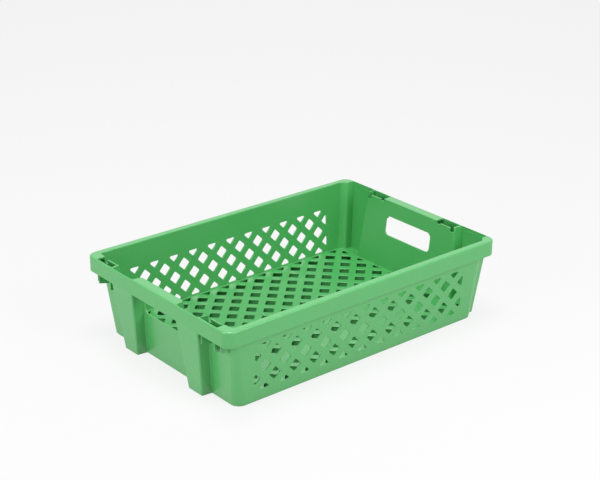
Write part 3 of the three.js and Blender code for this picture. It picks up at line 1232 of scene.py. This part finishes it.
@dataclass(frozen=True)
class GreenPlastic(Finish):
    """Satin green polypropylene, as it comes from the mould."""

    name: str = "green_plastic"
    colour: Colour = (0.075, 0.42, 0.112, 1.0)
    deep_colour: Colour = (0.068, 0.395, 0.102, 1.0)
    roughness_low: float = 0.27
    roughness_high: float = 0.35
    cloud_scale: float = 9.0
    cloud_detail: float = 3.0
    grain_scale: float = 900.0
    grain_detail: float = 2.0
    grain_height: float = 0.00004
    grain_strength: float = 0.6
    specular: float = 0.9

    def fill(self, tree: NodeTree) -> None:
        """Sets the finish's nodes.

        Args:
            tree: The material's nodes.
        """
        place = add_node(tree, "ShaderNodeTexCoord", {}).outputs["Object"]
        clouds = {"Vector": place, "Scale": self.cloud_scale, "Detail": self.cloud_detail}
        cloud = add_node(tree, "ShaderNodeTexNoise", clouds).outputs["Fac"]
        grains = {"Vector": place, "Scale": self.grain_scale, "Detail": self.grain_detail}
        grain = add_node(tree, "ShaderNodeTexNoise", grains).outputs["Fac"]
        tints = {"Factor": cloud, "A": self.deep_colour, "B": self.colour}
        tint = add_node(tree, "ShaderNodeMix", tints, data_type="RGBA")
        gloss = {"Value": cloud, "To Min": self.roughness_low, "To Max": self.roughness_high}
        relief = {"Height": grain, "Distance": self.grain_height, "Strength": self.grain_strength}
        values = {
            "Base Color": tint.outputs["Result"],
            "Roughness": add_node(tree, "ShaderNodeMapRange", gloss).outputs["Result"],
            "Specular IOR Level": self.specular,
            "Normal": add_node(tree, "ShaderNodeBump", relief).outputs["Normal"],
        }
        feed(tree, tree.nodes["Principled BSDF"], values)


@dataclass
class Crate:
    """The whole moulding, parted into the same named regions as the frame."""

    plastic: Material
    sizes: CrateSizes = CrateSizes()
    floor_half: Point = (263.5, 177.0)
    floor_corner: float = 11.0
    weld: float = 0.0005
    sharp_turn: float = math.radians(40)

    def __post_init__(self) -> None:
        """Sets out the slots, the lattice holes and the planes that part the regions."""
        s = self.sizes
        self.slots = StackingSlots(s)
        self.holes = Perforations(HoleLattice(self.plastic), s)
        self.parting_x = math.ceil(self.holes.wall_half_length + self.holes.wall_bar / 2)
        self.skirt_x = round((s.end_face(s.height) + s.half_length - s.skirt_wall) / 2)
        self.skirt_y = round((s.side_face(s.height) + s.half_width - s.skirt_wall) / 2)
        self.rim_z = math.ceil(s.flange_bottom) - 1
        self.foot_z = math.ceil(s.sheet_bottom) - 1
        self.outer = s.half_width + PAST
        self.tall = (-PAST, s.height + PAST)

    def moulding(self) -> Object:
        """The whole crate in one solid, in millimetres.

        Returns:
            The crate, not yet parted.
        """
        s = self.sizes
        tub, hands, slots, holes = Tub(s), HandHoles(s), self.slots, self.holes
        whole = work(Rim(s).build(), tub.outside(), Join.ADD)
        log.info("rim and walls joined: %d faces", len(whole.data.polygons))
        for cutter in slots.cutters():
            work(whole, cutter, Join.CUT)
        for piece in [*tub.column_tops(), *slots.ribs(RibRow(self.plastic))]:
            work(whole, piece, Join.ADD)
        log.info("slots cut and ribs set: %d faces", len(whole.data.polygons))
        for cutter in [tub.inside_above(), tub.inside_below(), *slots.column_rims()]:
            work(whole, cutter, Join.CUT)
        holes.score(whole)
        hands.score(whole)
        cutters = [*holes.floor_holes(), *holes.wall_holes(FRONT), *holes.wall_holes(REAR)]
        for cutter in [*cutters, hands.cutter(LEFT), hands.cutter(RIGHT)]:
            work(whole, cutter, Join.CUT)
        log.info("holes cut: %d faces", len(whole.data.polygons))
        return whole

    def build(self) -> list[Object]:
        """Shapes, parts and dresses the crate.

        Returns:
            The dressed regions.
        """
        whole = self.moulding()
        floor = work(copy_of(whole), self.floor_block(), Join.KEEP)
        work(whole, self.floor_block(), Join.CUT)
        made = [self.dress(floor, "floor_grid")]
        across = (-self.outer, self.outer)
        for end in END_NAMES:
            stretch = self.region(whole, self.end_span(end), across, self.tall)
            made += self.part_end(stretch, end)
        x = (-self.parting_x, self.parting_x)
        for side, name in SIDE_NAMES.items():
            stretch = self.region(whole, x, (0, side * self.outer), self.tall)
            y = (0, side * self.skirt_y)
            made += self.part_rim(stretch, x, y, "long_wall_" + name, "long_rim_" + name)
        drop(whole)
        return made

    def end_span(self, end: int) -> Point:
        """The x planes that hold one end."""
        return (end * self.parting_x, end * (self.sizes.half_length + PAST))

    def region(self, whole: Object, x: Point, y: Point, z: Point) -> Object:
        """A copy of what a solid has in a block."""
        return work(copy_of(whole), block(x, y, z), Join.KEEP)

    def part_rim(self, both: Object, x: Point, y: Point, wall: str, rim: str) -> list[Object]:
        """Parts a stretch of wall from the rim above and outside it.

        Args:
            both: The stretch, which is used up.
            x: The x planes of the wall's side.
            y: The y planes of the wall's side.
            wall: The wall's node name.
            rim: The rim's node name.

        Returns:
            The dressed wall and rim.
        """
        z = (-PAST, self.rim_z)
        inner = self.region(both, x, y, z)
        work(both, block(x, y, z), Join.CUT)
        return [self.dress(inner, wall), self.dress(both, rim)]

    def part_end(self, whole: Object, end: int) -> list[Object]:
        """Parts one end into its panel, rim, columns, feet, corners and slots.

        Args:
            whole: The end, which is used up.
            end: Which end it is.

        Returns:
            The dressed regions.
        """
        s = self.sizes
        x = self.end_span(end)
        splay = s.column_top_half + s.column_splay
        if end == LEFT:
            half = s.panel_half
            split = math.ceil(s.left_column + splay)
            near, far = ("column_left_", "foot_left_"), ("corner_left_", "")
        else:
            half = math.floor(s.left_column - s.slot_half - self.slots.rib)
            split = math.floor(s.right_column - splay)
            near, far = ("slot_bay_right_", ""), ("corner_column_right_", "foot_right_")
        middle = self.region(whole, x, (-half, half), self.tall)
        wall_x = (x[0], end * self.skirt_x)
        wall, rim = "end_panel_" + END_NAMES[end], "end_rim_" + END_NAMES[end]
        made = self.part_rim(middle, wall_x, (-half, half), wall, rim)
        for side, name in SIDE_NAMES.items():
            for (upper, foot), start, stop in ((near, half, split), (far, split, self.outer)):
                y = (side * start, side * stop)
                z = (self.foot_z if foot else -PAST, s.height + PAST)
                made.append(self.dress(self.region(whole, x, y, z), upper + name))
                if foot:
                    low = self.region(whole, x, y, (-PAST, self.foot_z))
                    made.append(self.dress(low, foot + name))
        drop(whole)
        return made

    def floor_block(self) -> Object:
        """The block that holds the floor, with its square corners left out.

        Returns:
            The block, with a notch at each corner.
        """
        s = self.sizes
        x, y = self.floor_half
        corner = self.floor_corner
        quarter = [(x, y - corner), (x - corner, y - corner), (x - corner, y)]
        outline: list[Point] = []
        for a, b, turned in ((1, 1, False), (-1, 1, True), (-1, -1, False), (1, -1, True)):
            points = [(a * p, b * q) for p, q in quarter]
            outline += reversed(points) if turned else points
        heights = (s.sheet_bottom - PAST, s.floor_top + PAST)
        return loft("floor_block", [(z, outline) for z in heights])

    def dress(self, piece: Object, node: str) -> Object:
        """Finishes one region and lets it stand for its node.

        Args:
            piece: The region, in millimetres.
            node: The node that it stands for.

        Returns:
            The finished piece, in metres.
        """
        piece.name = "moulded_" + node
        shape = bmesh.new()
        shape.from_mesh(piece.data)
        bmesh.ops.remove_doubles(shape, verts=shape.verts, dist=self.weld)
        bmesh.ops.dissolve_degenerate(shape, dist=self.weld, edges=shape.edges)
        for face in shape.faces:
            face.smooth = True
        for edge in shape.edges:
            edge.smooth = len(edge.link_faces) == 2 and edge.calc_face_angle(0) < self.sharp_turn
        shape.to_mesh(piece.data)
        shape.free()
        even = piece.modifiers.new("even", "WEIGHTED_NORMAL")
        even.keep_sharp = True
        bake(piece)
        piece.data.transform(Matrix.Scale(MM, 4))
        piece.data.materials.clear()
        piece.data.materials.append(self.plastic)
        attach(piece, "root")
        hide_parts(node)
        log.info("%s: %d faces", piece.name, len(piece.data.polygons))
        return piece


def seen_plainly(tree: NodeTree) -> NodeSocket:
    """1 for rays of the camera, of gloss and of glass, which see the pale studio, otherwise 0.

    Args:
        tree: The tree that asks.

    Returns:
        The value.
    """
    ray = add_node(tree, "ShaderNodeLightPath", {})
    found = ray.outputs["Is Camera Ray"]
    for kind in ("Is Glossy Ray", "Is Transmission Ray"):
        pair = {0: found, 1: ray.outputs[kind]}
        found = add_node(tree, "ShaderNodeMath", pair, operation="MAXIMUM").outputs[0]
    return found


@dataclass(frozen=True)
class PaleGround(Finish):
    """The pale floor, nearly white to the camera, which keeps the crate's soft shadow."""

    name: str = "pale_ground"
    colour: Colour = (0.7, 0.7, 0.7, 1.0)
    shown: Colour = (0.11, 0.11, 0.11, 1.0)
    glow: float = 0.83

    def fill(self, tree: NodeTree) -> None:
        """Sets the finish's nodes.

        Args:
            tree: The material's nodes.
        """
        tree.nodes.clear()
        plain = add_node(tree, "ShaderNodeBsdfDiffuse", {"Color": self.colour}).outputs[0]
        seen = add_node(tree, "ShaderNodeBsdfDiffuse", {"Color": self.shown}).outputs[0]
        glow = add_node(tree, "ShaderNodeEmission", {"Strength": self.glow}).outputs[0]
        both = add_node(tree, "ShaderNodeAddShader", {0: seen, 1: glow}).outputs[0]
        choice = {"Fac": seen_plainly(tree), 1: plain, 2: both}
        surface = add_node(tree, "ShaderNodeMixShader", choice).outputs[0]
        add_node(tree, "ShaderNodeOutputMaterial", {"Surface": surface})


@dataclass(frozen=True)
class PaintedShadeGround(Finish):
    """The ground that the crate stands over, which only the light through the plastic reaches; its
    dark green is painted shade with painted green light from the plastic.
    """

    name: str = "painted_shade_ground"
    # Painted shade: a dark green that stands in for the shade and the green light under the crate.
    colour: Colour = (0.052, 0.24, 0.071, 1.0)

    def fill(self, tree: NodeTree) -> None:
        """Sets the finish's nodes."""
        values = {"Base Color": self.colour, "Specular IOR Level": 0.0}
        feed(tree, tree.nodes["Principled BSDF"], values)


@dataclass(frozen=True)
class Lamp:
    """A square soft lamp that points at the crate, with its size in metres and power in watts."""

    name: str
    place: tuple[float, float, float]
    size: float
    power: float

    def hang(self) -> None:
        """Puts the lamp up in its place."""
        data = bpy.data.lights.new(self.name, "AREA")
        data.size = self.size
        data.energy = self.power
        lamp = show(self.name, data)
        lamp.location = self.place
        lamp.rotation_euler = (-Vector(self.place)).to_track_quat("-Z", "Y").to_euler()


@dataclass
class Studio:
    """Floor, soft light and the camera at the photographed viewpoint.

    Lengths are in metres, and those of the lens and its sensor in millimetres.

    The key lamp hangs before the crate and another at its left. One right above lights the floor,
    and a wide weak one behind gives the flange and the floor their sheen.
    """

    ground_half: float = 6.0
    world_strength: float = 0.3
    backdrop: float = 0.95
    lamps: tuple[Lamp, ...] = (
        Lamp("key", place=(0.3, -1.6, 1.1), size=0.9, power=19.5),
        Lamp("left", place=(-1.9, 0.1, 0.9), size=1.0, power=18.3),
        Lamp("top", place=(-0.2, 0.0, 2.6), size=1.0, power=36.0),
        Lamp("back", place=(1.7, 1.9, 1.5), size=2.2, power=5.0),
    )
    azimuth: float = math.radians(40.218)
    elevation: float = math.radians(22.909)
    roll: float = math.radians(0.564)
    lens: float = 87.338
    sensor: float = 36.0
    camera_place: tuple[float, float, float] = (-1.5007, -1.7897, 1.1492)

    def build(self) -> None:
        """Sets up the whole studio."""
        scene = bpy.context.scene
        for leftover in [o for o in scene.objects if o.name in ("Cube", "Light", "Camera")]:
            bpy.data.objects.remove(leftover)
        self.ground()
        self.world()
        for lamp in self.lamps:
            lamp.hang()
        self.camera()
        scene.view_settings.view_transform = "Standard"

    def ground(self) -> None:
        """The floor that the crate stands on, with a face of its own where the crate covers it,
        which gets the painted shade.
        """
        reach = self.ground_half
        sizes = CrateSizes()
        foot = [(x * MM, y * MM) for x, y in Tub(sizes).outline(0, sizes.wall / 2)]
        around = [(-reach, -reach), (reach, -reach), (reach, reach), (-reach, reach)]
        shape = bmesh.new()
        rings = [[shape.verts.new((x, y, 0.0)) for x, y in points] for points in (around, foot)]
        edges = [shape.edges.new((r[i - 1], r[i])) for r in rings for i in range(len(r))]
        bmesh.ops.triangle_fill(shape, use_beauty=True, use_dissolve=False, edges=edges)
        # The crate's footprint gets the second material, the painted shade.
        shape.faces.new(rings[1]).material_index = 1
        ground = solid("ground", shape)
        for finish in (PaleGround(), PaintedShadeGround()):
            ground.data.materials.append(finish.build())

    def world(self) -> None:
        """Even light from all round, and a near-white background for the camera."""
        world = bpy.data.worlds.new("studio")
        world.use_nodes = True
        tree = world.node_tree
        light = tree.nodes["Background"]
        feed(tree, light, {"Color": WHITE, "Strength": self.world_strength})
        shown = add_node(tree, "ShaderNodeBackground", {"Color": WHITE, "Strength": self.backdrop})
        choice = {"Fac": seen_plainly(tree), 1: light.outputs[0], 2: shown.outputs[0]}
        surface = add_node(tree, "ShaderNodeMixShader", choice).outputs[0]
        feed(tree, tree.nodes["World Output"], {"Surface": surface})
        bpy.context.scene.world = world

    def camera(self) -> None:
        """The camera, with its own sideways turn."""
        az, el = self.azimuth, self.elevation
        ahead = Vector((math.cos(el) * math.sin(az), math.cos(el) * math.cos(az), -math.sin(el)))
        right = Vector((math.cos(az), -math.sin(az), 0.0))
        up = right.cross(ahead)
        cos, sin = math.cos(self.roll), math.sin(self.roll)
        data = bpy.data.cameras.new("camera")
        data.sensor_fit = "HORIZONTAL"
        data.sensor_width = self.sensor
        data.lens = self.lens
        camera = show("camera", data)
        axes = Matrix((right * cos + up * sin, up * cos - right * sin, -ahead)).transposed()
        camera.matrix_world = Matrix.Translation(self.camera_place) @ axes.to_4x4()
        bpy.context.scene.camera = camera


def main() -> None:
    """Builds the crate and its studio."""
    logging.basicConfig(level=logging.INFO, format="%(name)s %(message)s")
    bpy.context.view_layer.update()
    Studio().build()
    pieces = Crate(GreenPlastic().build()).build()
    log.info("%d pieces", len(pieces))


if __name__ == "__main__":
    main()
